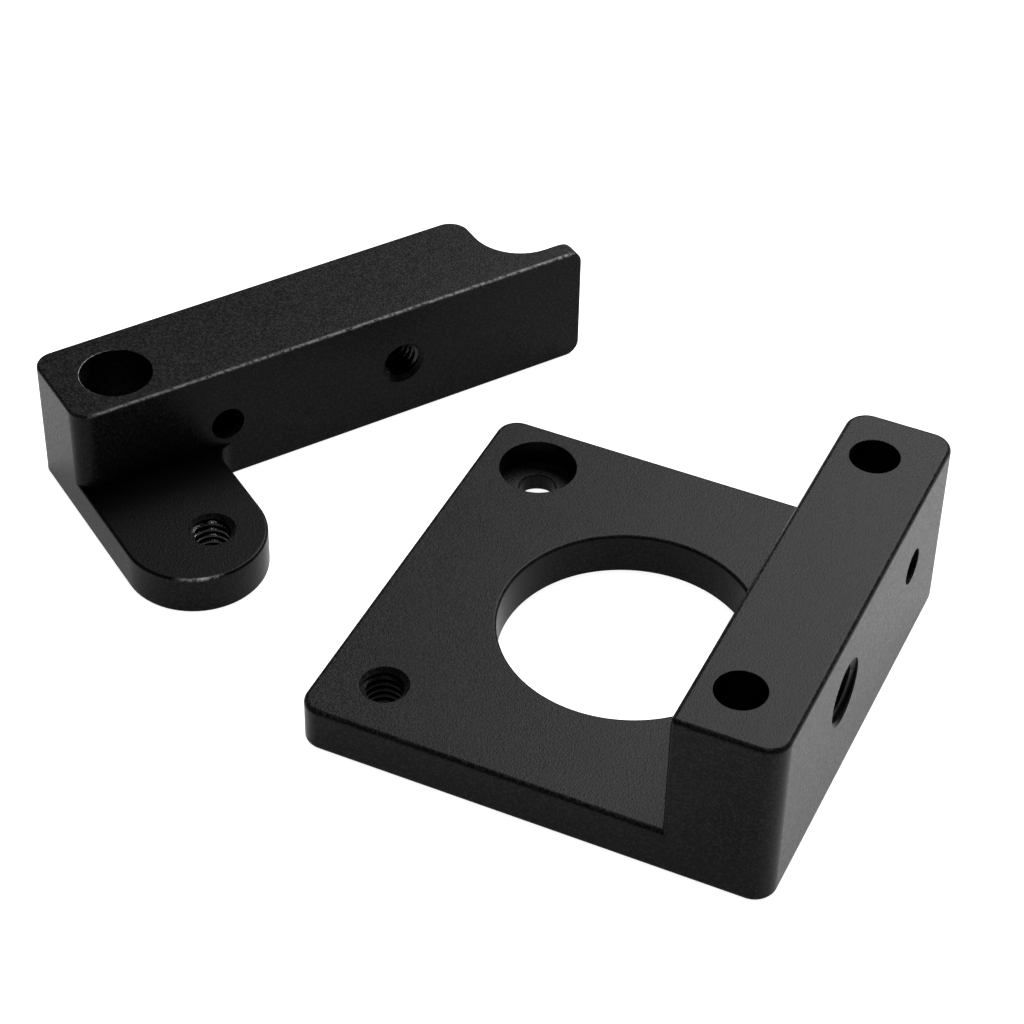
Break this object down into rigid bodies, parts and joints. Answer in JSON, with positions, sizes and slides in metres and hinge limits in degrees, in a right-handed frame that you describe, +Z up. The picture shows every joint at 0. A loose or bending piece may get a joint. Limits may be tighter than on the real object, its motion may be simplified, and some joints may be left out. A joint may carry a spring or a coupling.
{
  "type": "filament feeder frame set",
  "caption": "Black anodised motor plate with a raised rail, and the matching idler lever with a bearing tab, pivot bore and thumb notch.",
  "frame": {"origin": "the motor's axis at the motor plate's underside", "axes": "+X towards the raised rail, +Y towards the edge with the sunk screw, +Z up, away from the motor"},
  "size_m": [0.0798, 0.0593, 0.0172],
  "materials": {
    "anodised_frame": "bead blasted, black anodised, satin",
    "anodised_lever": "bead blasted, black anodised, satin, with bright wear on the upper front edge"
  },
  "bodies": {
    "frame": {"frame_block": "anodised_frame"},
    "lever": {"idler_lever": "anodised_lever"}
  },
  "joints": [
    {"name": "lever_swing", "type": "hinge", "parent": "frame", "child": "lever", "pos_m": [-0.0514, 0.0026, 0], "axis": [0, 0, 1], "range_deg": [-12, 4]}
  ]
}
